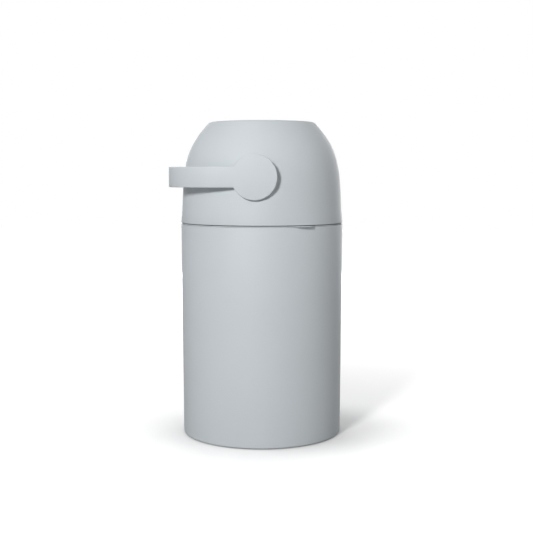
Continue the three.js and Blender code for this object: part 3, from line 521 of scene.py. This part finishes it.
throat = {"mouthR": 80.34, "lowR": 76.04, "flangeR": 85.74, "neckR": 82.74, "footR": 82.44, "wall": 2.4,
          "round": 1.4, "bead": 0.5, "beadHeight": 2.1, "flangeRound": 0.6, "footRound": 1.0,
          "footChamfer": 0.4}
ball = {"R": 94.0, "wall": 2.6, "gap": 0.35, "chamberR": 70.0, "chamberWall": 2.5, "mouthR": 66.54,
        "mouthChamfer": 0.8, "mouthDepth": 1.0, "lipHeight": 60.2, "lipRound": 1.2, "parting": 0.15,
        "partingChamfer": 0.3, "hubR": 18.0, "hubSink": 1.0, "hubRound": 0.6, "hubEnd": 109.3,
        "lugR": 26.5, "lugThick": 5.3, "lugWidth": 12.5, "lugTool": 60, "halfTool": 80, "toolSpan": 400,
        "boreTool": (79, 115)}
seal = {"thick": 2.2, "reach": 5.0, "round": 0.5, "gasket": 2.0}


def ballArc(radius, fromR, toR, side, steps):
    # a stretch of a ball's outline between two distances from its axis, above (1) or below (-1) the pivot
    start, end = (math.acos(min(1, r / radius)) for r in (fromR, toR))
    angles = [start + (end - start) * i / steps for i in range(steps + 1)]
    return [(radius * math.cos(a), pivotZ + side * radius * math.sin(a)) for a in angles]


def makeThroat():
    t, bottom, beadTop = throat, low("throat_ring", "z"), ledgeLow - seat
    top, foot, cut = t["flangeRound"], t["footRound"], t["footChamfer"]
    shelf, neckTop = bottom + t["wall"], headTop - dome["lipThick"]
    rings = [
        *arc(t["flangeR"] - top, headTop - top, top, 0, 90, 4),
        *arc(t["mouthR"] + t["round"], headTop - t["round"], t["round"], 90, 180, 8),
        *arc(t["lowR"] + foot, bottom + foot, foot, 180, 270, 5),
        (t["footR"] - cut, bottom), (t["footR"], bottom + cut), (t["footR"], shelf),
        (t["lowR"] + t["wall"], shelf),
        (t["mouthR"], beadTop - t["beadHeight"] - t["bead"]),
        (dome["ledgeR"] + t["bead"], beadTop - t["beadHeight"] / 2), (dome["ledgeR"] + t["bead"], beadTop),
        (t["neckR"], beadTop), (t["neckR"], neckTop), (t["flangeR"], neckTop)]
    return finishPiece(turned("throatRing", rings, closed=True), "head", "inner_plastic", "throat_ring")


def makeUpperSeal():
    wipe, inner, hook = ball["R"] + ball["gap"], throat["lowR"] + seat, throat["footR"] + seat
    outer, outside, r = inner + seal["reach"], hook + seal["thick"], seal["round"]
    throatLow = low("throat_ring", "z")
    shelf, under = throatLow + throat["wall"] + seat, throatLow - seat
    rings = [*ballArc(wipe, inner, outer, 1, 8), (outside, low("upper_seal", "z")), (outside, shelf),
             (hook, shelf), (hook, under), (inner + r, under), (inner, under - r)]
    return finishPiece(turned("upperSeal", rings, closed=True), "head", "seal_rubber", "upper_seal")


def makeLowerSeal():
    wipe, edge, top = ball["R"] + ball["gap"], high("head_base", "z") + seat, high("lower_seal", "z")
    lowR = math.sqrt(wipe ** 2 - (pivotZ - edge) ** 2)
    highR = lowR + seal["reach"] / 2
    hook = throat["lowR"] + throat["wall"] + seat
    outside, r = hook + seal["thick"], seal["round"]
    rings = [(lowR, edge), (hook, edge), (hook, edge - seal["reach"]), (outside - r, edge - seal["reach"]),
             (outside, edge - seal["reach"] + r), *arc(outside - r, top - r, r, 0, 90, 4), (highR, top)]
    return finishPiece(turned("lowerSeal", rings, closed=True), "head", "seal_rubber", "lower_seal")


def makeGasket():
    top, bottom, out = high("head_gasket", "z"), low("head_gasket", "z"), high("head_gasket", "x")
    inner, r = out - seal["gasket"], seal["round"]
    rings = [(inner, bottom + r), (inner + r, bottom), (out - r, bottom), (out, bottom + r), (out, top),
             (inner, top)]
    return finishPiece(turned("headGasket", rings, closed=True), "head", "seal_rubber", "head_gasket")


makeThroat()
makeUpperSeal()
makeLowerSeal()
makeGasket()
print("throat and seals done")


# Head base under the ball: collar, ribbed plate, screw bosses and the catch tongue at the front

base = {"rise": 2.1, "collarR": 76.04, "collarWall": 2.4, "floor": 2.4, "fillet": 1.2, "edge": 0.4,
        "mouthChamfer": 0.6, "rimHeight": 5.5, "rimWall": 2.4, "rimTaper": 0.3, "screws": 4, "screwStart": 45,
        "screwCircle": 133.5, "bossR": 7.0, "bossShift": 1.5, "bossLift": 0.2, "bossWall": 3.0,
        "shoulder": 3.2, "headR": 4.3, "headTool": 20, "shankR": 2.3, "shankTool": 40, "ribs": 8,
        "ribStart": 22.5, "rib": 2.0, "ribHeight": 4.0, "ribSink": 0.5, "ribIn": 1.0, "ribOut": 3.4}
catch = {"width": 30.0, "length": 19.0, "thick": 2.2, "bead": 0.7, "beadRise": 3, "tipInner": 0.5,
         "tipOuter": 0.6, "sink": 1.0, "toolDepth": 100, "toolHeight": 40, "toolY": -130, "toolDrop": 10}
screwTurns = [math.radians(base["screwStart"] + 360 / base["screws"] * i) for i in range(base["screws"])]


def makeTongue(bottom):
    # cut from a ring that hangs inside the bag ring, with a bead outside
    c, bead = catch, catch["bead"]
    out = rimR - bucket["wall"] - ring["bagGap"] - ring["wall"] - seat - bead
    inner, tip, top = out - c["thick"], bottom - c["length"], bottom + c["sink"]
    tongue = turned("catchTongue", [
        (inner + c["tipInner"], tip), (out - c["tipOuter"], tip), (out, tip + c["tipOuter"]),
        *arc(out, tip + c["beadRise"] * bead, bead, -90, 90, 8), (out, top), (inner, top),
        (inner, tip + c["tipInner"])], closed=True)
    tool = brick("tongueTool", (c["width"], c["toolDepth"], c["toolHeight"]),
                 (0, c["toolY"], bottom - c["toolDrop"]))
    return combine(tongue, tool, "INTERSECT")


def makeBase():
    bottom, top = headBottom + base["rise"], high("head_base", "z")
    plateTop, rim = bottom + base["floor"], bottom + base["rimHeight"]
    outside = rimR - dome["waistInset"] / dome["waistRise"] * base["rise"] - dome["wall"] - seat
    bore, edge, fillet, mouth = base["collarR"], base["edge"], base["fillet"], base["mouthChamfer"]
    collar, rimInside = bore + base["collarWall"], outside - base["rimWall"]
    plate = turned("headBase", [
        (bore + mouth, bottom), (outside - edge, bottom), (outside, bottom + edge),
        (outside - base["rimTaper"], rim), (rimInside, rim), (rimInside, plateTop),
        (collar + fillet, plateTop), (collar, plateTop + fillet), (collar, top - edge), (collar - edge, top),
        (bore + edge, top), (bore, top - edge), (bore, bottom + mouth)], closed=True)
    inner, outer = collar - base["ribIn"], outside - base["ribOut"]
    middle, height = (inner + outer) / 2, base["ribHeight"] + base["ribSink"]
    for i in range(base["ribs"]):
        turn = math.radians(base["ribStart"] + 360 / base["ribs"] * i)
        place = (math.cos(turn) * middle, math.sin(turn) * middle, plateTop - base["ribSink"] + height / 2)
        combine(plate, brick("rib", (outer - inner, base["rib"], height), place, turn), "UNION")
    bossTop = bottom + base["shoulder"] + base["bossWall"]
    bossMiddle, bossHeight = (bottom + base["bossLift"] + bossTop) / 2, bossTop - bottom - base["bossLift"]
    headMiddle = bottom + base["shoulder"] - base["headTool"] / 2
    near = (base["screwCircle"] - base["bossShift"]) / base["screwCircle"]
    for turn in screwTurns:
        x, y = base["screwCircle"] * math.cos(turn), base["screwCircle"] * math.sin(turn)
        boss = bar("boss", base["bossR"], (x * near, y * near, bossMiddle), bossHeight,
                   facets=roundness["screw"])
        combine(plate, boss, "UNION")
        head = bar("headTool", base["headR"], (x, y, headMiddle), base["headTool"],
                   facets=roundness["screw"])
        combine(plate, head, "DIFFERENCE")
        shank = bar("shankTool", base["shankR"], (x, y, bottom), base["shankTool"],
                    facets=roundness["shank"])
        combine(plate, shank, "DIFFERENCE")
    combine(plate, makeTongue(bottom), "UNION")
    return finishPiece(plate, "head", "inner_plastic", "head_base")


makeBase()
print("head base done")


# Screws with rounded socket heads, under the head base and in the ball's lower half

screw = {"R": 2.0, "headR": 4.0, "head": 2.6, "edge": 0.7, "endChamfer": 0.5, "socketR": 2.0, "socket": 1.3,
         "socketSides": 6, "inBall": 4}


def makeScrew(name, node, body, x, y):
    bottom, r, top = low(node, "z"), screw["R"], high(node, "z")
    neck, edge, cut = bottom + screw["head"], screw["edge"], screw["endChamfer"]
    piece = turned(name, [(0, bottom), *arc(screw["headR"] - edge, bottom + edge, edge, -90, 0, 5),
                          (screw["headR"], neck), (r, neck), (r, top - cut), (r - cut, top), (0, top)],
                   roundness["screw"])
    socket = bar("socketTool", screw["socketR"], (0, 0, bottom), 2 * screw["socket"],
                 facets=screw["socketSides"])
    combine(piece, socket, "DIFFERENCE")
    piece.location = (x * mm, y * mm, 0)
    return finishPiece(piece, body, "steel", node)


for i, turn in enumerate(screwTurns):
    makeScrew(f"baseScrew{i + 1}", f"base_screw_{i + 1}", "head",
              base["screwCircle"] * math.cos(turn), base["screwCircle"] * math.sin(turn))
for i in range(screw["inBall"]):
    node = f"drum_screw_{i + 1}"
    makeScrew(f"drumScrew{i + 1}", node, "rotor", (low(node, "x") + high(node, "x")) / 2,
              (low(node, "y") + high(node, "y")) / 2)
print("screws done")


# Ball in two halves, its axles and their bushes

axle = {"R": 11.8, "start": 78.0, "flangeR": 14.5, "flange": 3.0, "edge": 0.5, "flat": 9.5,
        "flatTool": (60, 9, 10), "flatMiddle": 3.4}
bush = {"inR": 12.1, "outR": 15.0, "flangeR": 20.5, "start": 109.6, "flange": 2.1, "end": 139.0, "edge": 0.5}


def makeLug(end):
    # stands out from the hub and ends each half turn
    b = ball
    lug = barOut("lug", b["lugR"], b["hubEnd"] - b["lugThick"], b["hubEnd"], end, roundness["hub"])
    tool = brick("lugTool", (b["lugWidth"], b["toolSpan"], b["lugTool"]), (0, 0, pivotZ + b["lugTool"] / 2))
    return combine(lug, tool, "INTERSECT")


def makeDrumHalf(side):
    b, cut, r = ball, ball["partingChamfer"], ball["lipRound"]
    parting, lip = pivotZ + side * b["parting"], pivotZ + side * b["lipHeight"]
    inside, outChamber = b["R"] - b["wall"], b["chamberR"] + b["chamberWall"]
    mouthTop = math.sqrt(b["R"] ** 2 - b["mouthR"] ** 2) - b["mouthDepth"]
    widest, insideWidest = (math.sqrt(size ** 2 - b["parting"] ** 2) for size in (b["R"], inside))
    half = turned("drumUpper" if side > 0 else "drumLower", [
        (b["chamberR"] + cut, parting), (b["chamberR"], parting + side * cut), (b["chamberR"], lip),
        (b["mouthR"] + r, lip), (b["mouthR"], lip + side * r), (b["mouthR"], pivotZ + side * mouthTop),
        *ballArc(b["R"], b["mouthR"] + b["mouthChamfer"], widest, side, 32),
        *ballArc(inside, insideWidest, outChamber, side, 20), (outChamber, parting)],
        roundness["wide"], closed=True)
    for end in (-1, 1):
        hub = barOut("hub", b["hubR"], b["chamberR"] + b["hubSink"], b["hubEnd"], end, roundness["hub"])
        softenEdges(hub, b["hubRound"])
        if side > 0:
            combine(hub, makeLug(end), "UNION")
        tool = brick("halfTool", (b["halfTool"], b["toolSpan"], b["halfTool"]),
                     (0, 0, pivotZ + side * (b["halfTool"] / 2 + b["parting"])))
        combine(hub, tool, "INTERSECT")
        combine(half, hub, "UNION")
        combine(half, barOut("axleTool", axle["R"] + seat, *b["boreTool"], end), "DIFFERENCE")
        combine(half, barOut("flangeTool", axle["flangeR"] + seat, axle["start"] - seat,
                             axle["start"] + axle["flange"] + seat, end), "DIFFERENCE")
    return finishPiece(half, "rotor", "ball_plastic", "drum_upper" if side > 0 else "drum_lower")


def makeAxle(side):
    a, e, end = axle, axle["edge"], high("axle_rear", "y")
    shoulder = a["start"] + a["flange"]
    rings = [(0, a["start"]), (a["flangeR"] - e, a["start"]), (a["flangeR"], a["start"] + e),
             (a["flangeR"], shoulder), (a["R"], shoulder), (a["R"], end - e), (a["R"] - e, end), (0, end)]
    piece = pointed(turned("axleFront" if side < 0 else "axleRear", rings, roundness["hub"]), side)
    for flat in (-1, 1):
        place = (0, side * (end - a["flatMiddle"]), pivotZ + flat * (a["flat"] + a["flatTool"][2] / 2))
        combine(piece, brick("flatTool", a["flatTool"], place), "DIFFERENCE")
    return finishPiece(piece, "rotor", "axle_plastic", "axle_front" if side < 0 else "axle_rear")


def makeBush(side):
    b, e = bush, bush["edge"]
    shoulder = b["start"] + b["flange"]
    rings = [(b["inR"], b["start"] + e), (b["inR"] + e, b["start"]), (b["flangeR"] - e, b["start"]),
             (b["flangeR"], b["start"] + e), (b["flangeR"], shoulder), (b["outR"], shoulder),
             (b["outR"], b["end"] - e), (b["outR"] - e, b["end"]), (b["inR"] + e, b["end"]),
             (b["inR"], b["end"] - e)]
    piece = turned("bushFront" if side < 0 else "bushRear", rings, roundness["hub"], closed=True)
    pointed(piece, side)
    return finishPiece(piece, "head", "bush_plastic", "bush_front" if side < 0 else "bush_rear")


for side in (-1, 1):
    makeDrumHalf(side)
    makeAxle(side)
    makeBush(side)
print("ball done")


# Piston: cup, cover and the wiper between them

piston = {"R": 69.2, "wall": 2.6, "floor": 2.4, "cover": 1.9, "groove": 2.2, "wiper": 4.4, "wiperStand": 0.5,
          "edge": 0.6, "chamfer": 0.4, "panelR": 58.0, "panelDepth": 0.6, "panelEdge": 0.8, "ribs": 3,
          "rib": 2.0, "ribSink": 1.0}
cupLow, coverTop = low("piston_body", "z"), high("piston_cover", "z")
coverLow = coverTop - piston["cover"]
cupTop = coverLow - seat
grooveMiddle, grooveR = (cupLow + cupTop) / 2, piston["R"] - piston["groove"]
grooveLow, grooveTop = (grooveMiddle + side * (piston["wiper"] / 2 + seat) for side in (-1, 1))
mouthR = piston["R"] - piston["wall"]


def makeCup():
    p, e, hollow = piston, piston["edge"], grooveR - piston["wall"]
    cup = turned("pistonBody", [
        (0, cupLow), (p["panelR"], cupLow), (p["R"] - e, cupLow), (p["R"], cupLow + e), (p["R"], grooveLow),
        (grooveR, grooveLow), (grooveR, grooveTop), (p["R"], grooveTop), (p["R"], cupTop), (mouthR, cupTop),
        (mouthR, grooveTop + p["wall"]), (hollow, grooveTop), (hollow, cupLow + p["floor"]),
        (0, cupLow + p["floor"])], roundness["wide"])
    ribSize = (2 * hollow + p["ribSink"], p["rib"], grooveTop - cupLow - p["ribSink"])
    for i in range(p["ribs"]):
        place = (0, 0, (grooveTop + cupLow + p["ribSink"]) / 2)
        combine(cup, brick("rib", ribSize, place, math.radians(180 / p["ribs"] * i)), "UNION")
    return finishPiece(cup, "piston", "piston_plastic", "piston_body")


def makeCover():
    p, e, cut = piston, piston["edge"], piston["chamfer"]
    spigotR, spigotLow = mouthR - seat, low("piston_cover", "z")
    cover = turned("pistonCover", [
        (0, coverLow), (spigotR - p["wall"], coverLow), (spigotR - p["wall"], spigotLow),
        (spigotR - cut, spigotLow), (spigotR, spigotLow + cut), (spigotR, coverLow), (p["R"], coverLow),
        *arc(p["R"] - e, coverTop - e, e, 0, 90, 4), (p["panelR"] + p["panelEdge"], coverTop),
        (p["panelR"], coverTop - p["panelDepth"]), (0, coverTop - p["panelDepth"])], roundness["wide"])
    return finishPiece(cover, "piston", "piston_plastic", "piston_cover")


def makeWiper():
    r, cut, inner = piston["R"], piston["chamfer"], grooveR + seat
    bottom, top = grooveLow + seat, grooveTop - seat
    wiper = turned("pistonSeal", [
        (inner, bottom), (r - cut, bottom), (r, bottom + cut), (r + piston["wiperStand"], grooveMiddle),
        (r, top - cut), (r - cut, top), (inner, top)], roundness["wide"], closed=True)
    return finishPiece(wiper, "piston", "seal_rubber", "piston_seal")


makeCup()
makeCover()
makeWiper()
print("piston done")


# Handle: a strap extruded and spun round its two bends, and a disc at each end

bow = {"discR": 38.65, "outside": 150.0, "disc": 6.5, "height": 35.0, "thick": 5.0, "reach": 160.8,
       "corner": 110.0, "bendSteps": 48, "edge": 1.2, "edgeSteps": 4, "ringR": 14.7, "ringStand": 1.5,
       "ringSink": 2.0, "socket": 5.0, "socketStart": 120}


def makeHandle():
    out, corner = bow["outside"], bow["corner"]
    bendX, bendY = corner - bow["reach"], out - corner
    bend = {"steps": bow["bendSteps"], "angle": math.pi / 2, "axis": (0, 0, 1)}
    deselect()
    bpy.ops.mesh.primitive_plane_add(size=mm, location=(0, (bow["thick"] / 2 - out) * mm, pivotZ * mm),
                                     rotation=(0, math.pi / 2, 0))
    strap = bpy.context.object
    strap.name = "handleBow"
    strap.scale = (bow["height"], bow["thick"], 1)
    applyPlace(strap)
    bpy.ops.object.mode_set(mode="EDIT")
    bpy.ops.mesh.select_all(action="SELECT")
    bpy.ops.mesh.extrude_region_move(TRANSFORM_OT_translate={"value": (bendX * mm, 0, 0)})
    bpy.ops.mesh.spin(center=(bendX * mm, -bendY * mm, pivotZ * mm), **bend)
    bpy.ops.mesh.extrude_region_move(TRANSFORM_OT_translate={"value": (0, 2 * bendY * mm, 0)})
    bpy.ops.mesh.spin(center=(bendX * mm, bendY * mm, pivotZ * mm), **bend)
    bpy.ops.mesh.extrude_region_move(TRANSFORM_OT_translate={"value": (-bendX * mm, 0, 0)})
    bpy.ops.object.mode_set(mode="OBJECT")
    tidyMesh(strap)
    softenEdges(strap, bow["edge"], bow["edgeSteps"])
    back = out - bow["disc"]
    ringStart = back - bow["ringStand"]
    for side in (-1, 1):
        disc = barOut("handleDisc", bow["discR"], back, out, side, roundness["wide"])
        softenEdges(disc, bow["edge"], bow["edgeSteps"])
        combine(disc, barOut("socketRing", bow["ringR"], ringStart, back + bow["ringSink"], side), "UNION")
        socket = barOut("socketTool", axle["R"] + seat, bow["socketStart"], ringStart + bow["socket"], side)
        combine(disc, socket, "DIFFERENCE")
        combine(strap, disc, "UNION")
    return finishPiece(strap, "rotor", "body_plastic", "handle_bail")


makeHandle()
print("handle done")


# Camera

view = {"azimuth": 4.7, "distance": 1834.4, "height": 466.05, "aside": 8.34, "pitch": 5.14, "lens": 68.47,
        "sensor": 36}


def makeCamera():
    turn, pitch = math.radians(view["azimuth"]), math.radians(view["pitch"])
    away, aside = view["distance"], view["aside"]
    x = away * math.sin(turn) + aside * math.cos(turn)
    y = aside * math.sin(turn) - away * math.cos(turn)
    deselect()
    bpy.ops.object.camera_add(location=Vector((x, y, view["height"])) * mm,
                              rotation=(math.pi / 2 - pitch, 0, turn))
    camera = bpy.context.object
    camera.data.lens = view["lens"]
    camera.data.sensor_width = view["sensor"]
    scene.camera = camera


makeCamera()
scene.view_settings.view_transform = "Standard"


# Light: a soft key from the front left, a weak wide lamp at the right, two low lamps behind, and a high soft
# sun for the shadow

lamps = {"keyAzimuth": -17, "keyRise": 20.5, "keySize": 0.5, "keyWatts": 61,
         "fillAzimuth": 72, "fillRise": 12, "fillSize": 1.5, "fillWatts": 13.5,
         "backAzimuths": (-167, 157), "backRise": 8, "backSize": 1.8, "backWatts": 26,
         "sunAzimuth": -78, "sunRise": 75, "sunAngle": 16, "sunPower": 0.62,
         "away": 3.0, "aim": 0.3, "ambient": 0.125}


def makeLamp(name, kind, azimuth, rise, power):
    a, e = math.radians(azimuth), math.radians(rise)
    back = Vector((math.sin(a) * math.cos(e), -math.cos(a) * math.cos(e), math.sin(e)))
    deselect()
    bpy.ops.object.light_add(type=kind, location=Vector((0, 0, lamps["aim"])) + back * lamps["away"])
    lamp = bpy.context.object
    lamp.name = name
    lamp.rotation_euler = back.to_track_quat("Z", "Y").to_euler()
    lamp.data.energy = power
    return lamp.data


def makeRoundLamp(name, azimuth, rise, size, power):
    lamp = makeLamp(name, "AREA", azimuth, rise, power)
    lamp.shape = "DISK"
    lamp.size = size


makeRoundLamp("keyLamp", lamps["keyAzimuth"], lamps["keyRise"], lamps["keySize"], lamps["keyWatts"])
makeRoundLamp("fillLamp", lamps["fillAzimuth"], lamps["fillRise"], lamps["fillSize"], lamps["fillWatts"])
for i, azimuth in enumerate(lamps["backAzimuths"]):
    makeRoundLamp(f"backLamp{i + 1}", azimuth, lamps["backRise"], lamps["backSize"], lamps["backWatts"])
sun = makeLamp("softSun", "SUN", lamps["sunAzimuth"], lamps["sunRise"], lamps["sunPower"])
sun.angle = math.radians(lamps["sunAngle"])

# The world is white where the camera or a reflection sees it, and dimmer as light
world = bpy.data.worlds.new("studio")
scene.world = world
world.use_nodes = True
worldTree = world.node_tree
worldTree.nodes.clear()
ray = addNode(worldTree, "ShaderNodeLightPath")
seen = addNode(worldTree, "ShaderNodeMath", operation="MAXIMUM",
               links={0: ray.outputs["Is Camera Ray"], 1: ray.outputs["Is Glossy Ray"]})
clear = addNode(worldTree, "ShaderNodeMath", operation="MAXIMUM",
                links={0: seen.outputs[0], 1: ray.outputs["Is Transmission Ray"]})
strength = addNode(worldTree, "ShaderNodeMapRange", {"To Min": lamps["ambient"], "To Max": 1.0},
                   {"Value": clear.outputs[0]})
backdrop = addNode(worldTree, "ShaderNodeBackground", {"Color": (1, 1, 1, 1)},
                   {"Strength": strength.outputs[0]})
addNode(worldTree, "ShaderNodeOutputWorld", links={"Surface": backdrop.outputs[0]})

# White floor, pale grey as a source of bounced light. To the camera alone it also glows, more further out, so
# that it meets the backdrop, and less where the bin stands over it, so that it keeps the shadow. Close to the bin
# an ambient-occlusion mask darkens its colour and glow to the camera: painted shade round the foot
studioFloor = {"size": 14, "bounceColour": "#a8a8a8", "nearGlow": 0.28, "farGlow": 0.7, "near": 0.25,
               "far": 1.5, "contactReach": 0.11, "contactSamples": 16, "contactShade": 0.62,
               "contactDeepest": 0.4}
deselect()
bpy.ops.mesh.primitive_plane_add(size=studioFloor["size"], location=(0, 0, 0))
floor = bpy.context.object
floor.name = "studioFloor"
floorMaterial, floorTree, floorPlace = startMaterial("white studio floor")
toCamera = addNode(floorTree, "ShaderNodeLightPath").outputs["Is Camera Ray"]
floorAway = addNode(floorTree, "ShaderNodeVectorMath", links={0: floorPlace}, operation="LENGTH")
floorGlow = addNode(floorTree, "ShaderNodeMapRange",
                    {"From Min": studioFloor["near"], "From Max": studioFloor["far"],
                     "To Min": studioFloor["nearGlow"], "To Max": studioFloor["farGlow"]},
                    {"Value": floorAway.outputs["Value"]})
floorOpen = addNode(floorTree, "ShaderNodeAmbientOcclusion", {"Distance": studioFloor["contactReach"]},
                    samples=studioFloor["contactSamples"])
# painted shade: ambient occlusion near the bin becomes a grey that darkens the floor's colour and glow, a contact
# shadow painted round the foot
floorPaintedShade = addNode(floorTree, "ShaderNodeMapRange",
                       {"From Min": studioFloor["contactDeepest"], "To Min": studioFloor["contactShade"]},
                       {"Value": floorOpen.outputs["AO"]})
floorShade = addNode(floorTree, "ShaderNodeMath", operation="MULTIPLY",
                     links={0: floorGlow.outputs[0], 1: floorPaintedShade.outputs[0]})
floorSeen = addNode(floorTree, "ShaderNodeMath", operation="MULTIPLY",
                    links={0: floorShade.outputs[0], 1: toCamera})
# to the camera the floor's colour is this painted contact shade, white further out; other rays see the pale grey
# bounce colour
floorColourAndPaintedShade = addNode(floorTree, "ShaderNodeMix", {6: hexColour(studioFloor["bounceColour"])},
                    {0: toCamera, 7: floorPaintedShade.outputs[0]}, data_type="RGBA")
floorMatt = addNode(floorTree, "ShaderNodeBsdfDiffuse", links={"Color": floorColourAndPaintedShade.outputs[2]})
floorLight = addNode(floorTree, "ShaderNodeEmission", links={"Strength": floorSeen.outputs[0]})
floorSurface = addNode(floorTree, "ShaderNodeAddShader",
                       links={0: floorMatt.outputs[0], 1: floorLight.outputs[0]})
endMaterial(floorTree, floorSurface)
floor.data.materials.append(floorMaterial)
print("camera and light done")
